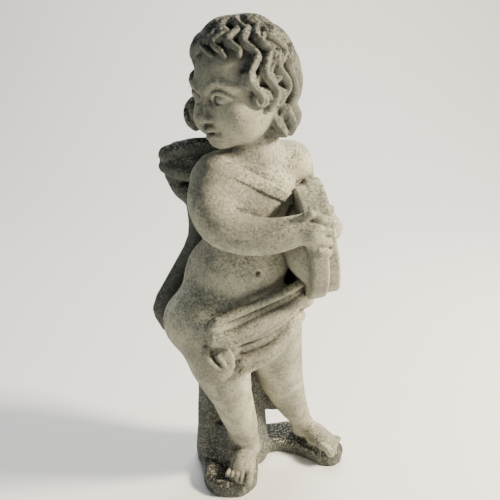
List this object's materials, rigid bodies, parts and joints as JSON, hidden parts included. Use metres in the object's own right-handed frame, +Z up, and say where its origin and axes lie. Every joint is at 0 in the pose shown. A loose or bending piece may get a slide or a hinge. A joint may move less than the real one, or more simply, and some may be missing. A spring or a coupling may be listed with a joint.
{
  "type": "putto statue",
  "caption": "Standing child figure in weathered stone, draped at the hips, holding a pair of cymbals on edge against a tree stump on a low rock base.",
  "frame": {"origin": "on the underside of the rock base, plumb below the figure's body", "axes": "+Z up; -Y towards the viewer, the side that the right forearm crosses; +X to the viewer's right"},
  "size_m": [0.3931, 0.2891, 0.8955],
  "materials": {
    "weathered_stone": "matt, pitted by weather, with grey patina and dark lichen on the hair, cloak and base"
  },
  "bodies": {
    "root": {"putto_statue": "weathered_stone"}
  },
  "joints": []
}
